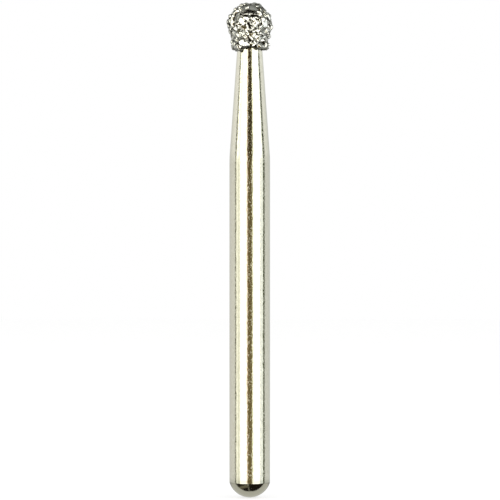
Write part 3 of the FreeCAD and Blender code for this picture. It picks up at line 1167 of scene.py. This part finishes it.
    def _surround(self, wiring: Wiring) -> Socket:
        """Colour of the whole tent in a direction from the bur.

        Args:
            wiring: The world's wiring.

        Returns:
            The colour, over the tent's scale.
        """
        way = wiring.add("ShaderNodeTexCoord").outputs["Generated"]
        parts = wiring.add("ShaderNodeSeparateXYZ", {0: way}).outputs
        rise = wiring.maths("MULTIPLY", wiring.maths("ARCSINE", parts["Z"]), 180 / math.pi)
        toward = wiring.maths("MULTIPLY", parts["Y"], -1.0)
        turn = wiring.maths("MULTIPLY", wiring.maths("ARCTAN2", parts["X"], toward), 180 / math.pi)
        aside = wiring.maths("ABSOLUTE", parts["X"])
        depth = wiring.maths("MULTIPLY_ADD", aside, -self.front_widening, parts["Y"])
        behind = wiring.remap(depth, *self.front_limit, 0.0, 1.0)
        slit = wiring.remap(wiring.apart(turn, self.slit_turn), *self.slit_fade)
        front_floor = wiring.blend(slit, self._scaled(self.front_floor), self._scaled(self.slit))
        across_streak = wiring.apart(rise, self.streak_rise)
        along_streak = wiring.remap(turn, *self.streak_fade)
        streak = wiring.remap(across_streak, *self.streak_half, along_streak, 0.0)
        front_floor = wiring.blend(streak, front_floor, self._scaled(self.streak))
        floor = wiring.blend(behind, front_floor, self._scaled(self.back_floor))
        over_floor, under_ceiling = (
            wiring.remap(depth, *self.front_limit, *(wiring.remap(rise, *fade) for fade in fades))
            for fades in (self.over_floor, self.under_ceiling)
        )
        ceiling = wiring.blend(behind, self._scaled(self.front_ceiling), self._scaled(self.back_ceiling))
        walls = wiring.blend(over_floor, floor, self._walls(wiring, turn, rise))
        return wiring.blend(under_ceiling, ceiling, walls)

    def _scaled(self, colour: Colour) -> Colour:
        """Colour over the tent's scale."""
        return tuple(part / self.scale for part in colour)

    def build_world(self) -> None:
        """Dress the world: white for the lens, the tent for shiny metal, plain light for the rest."""
        world = bpy.data.worlds.new("light_tent")
        world.use_nodes = True
        world.node_tree.nodes.clear()
        world.cycles.sampling_method = "NONE"
        wiring = Wiring(world.node_tree)
        rays = wiring.add("ShaderNodeLightPath").outputs
        plain = wiring.add("ShaderNodeBackground", {0: WHITE, 1: self.plain_strength})
        tent = wiring.add("ShaderNodeBackground", {0: self._surround(wiring), 1: self.scale})
        paper = wiring.add("ShaderNodeBackground", {0: WHITE, 1: 1.0})
        shiny = wiring.maths("MAXIMUM", rays["Is Glossy Ray"], rays["Is Transmission Ray"])
        lit = wiring.add("ShaderNodeMixShader", {0: shiny, 1: plain.outputs[0], 2: tent.outputs[0]})
        inputs = {0: rays["Is Camera Ray"], 1: lit.outputs[0], 2: paper.outputs[0]}
        seen = wiring.add("ShaderNodeMixShader", inputs)
        wiring.add("ShaderNodeOutputWorld", {"Surface": seen.outputs[0]})
        bpy.context.scene.world = world

    def build_lamps(self) -> None:
        """Hang a soft lamp on each side in front, which gives the floor its shadow."""
        aside, behind, height = self.lamp_place
        for name, side in (("left_lamp", -1), ("right_lamp", 1)):
            data = bpy.data.lights.new(name, "AREA")
            data.shape, data.size, data.energy = "DISK", self.lamp_size * MM, self.lamp_power
            lamp = put(name, data)
            lamp.location = (side * aside * MM, behind * MM, height * MM)
            lamp.rotation_euler = (-Vector(lamp.location)).to_track_quat("-Z", "Y").to_euler()
            lamp.visible_glossy = False


@dataclass(frozen=True)
class Floor:
    """Round sheet of white paper under the butt end."""

    radius: float = 260.0
    drop: float = 0.01
    columns: int = 96

    def build(self) -> None:
        """Lay the sheet."""
        rim = turn_section(np.array([(self.radius, -self.drop)]), self.columns)[0] * MM
        mesh = bpy.data.meshes.new("paper_floor")
        mesh.from_pydata(rim.tolist(), [], [list(range(self.columns))])
        mesh.materials.append(PaperFloor().material())
        floor = put("paper_floor", mesh)
        floor.visible_glossy = False
        floor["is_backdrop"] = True


# The whole scene


def settle(piece: bpy.types.Object, node: Node, slot: Slot) -> None:
    """Hand a finished piece to the frame.

    Args:
        piece: The piece.
        node: The solid that it stands for.
        slot: The record's slot for the piece; not used.
    """
    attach(piece, BODY)
    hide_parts(node.value)
    log.info("%s: %d faces, for %s", piece.name, len(piece.data.polygons), node.value)


def write_sizes() -> None:
    """Take the box of the solid model and that of the pieces; nothing is kept or written."""
    boxes = {"cad": CAD_BOX, "visual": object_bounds()}
    {name: [list(corner) for corner in box] for name, box in boxes.items()}


def main() -> None:
    """Build the scene in order: camera, light and floor, blank, head."""
    logging.basicConfig(level=logging.INFO, format="%(name)s: %(message)s")
    bpy.context.scene.view_settings.view_transform = "Standard"
    PhotoCamera().build()
    tent = LightTent()
    tent.build_world()
    tent.build_lamps()
    Floor().build()
    blank = SteelBlank()
    settle(blank.build(), Node.BLANK, Slot.STEEL)
    settle(DiamondHead().build(blank), Node.COATING, Slot.COATING)
    write_sizes()


if __name__ == "__main__":
    main()
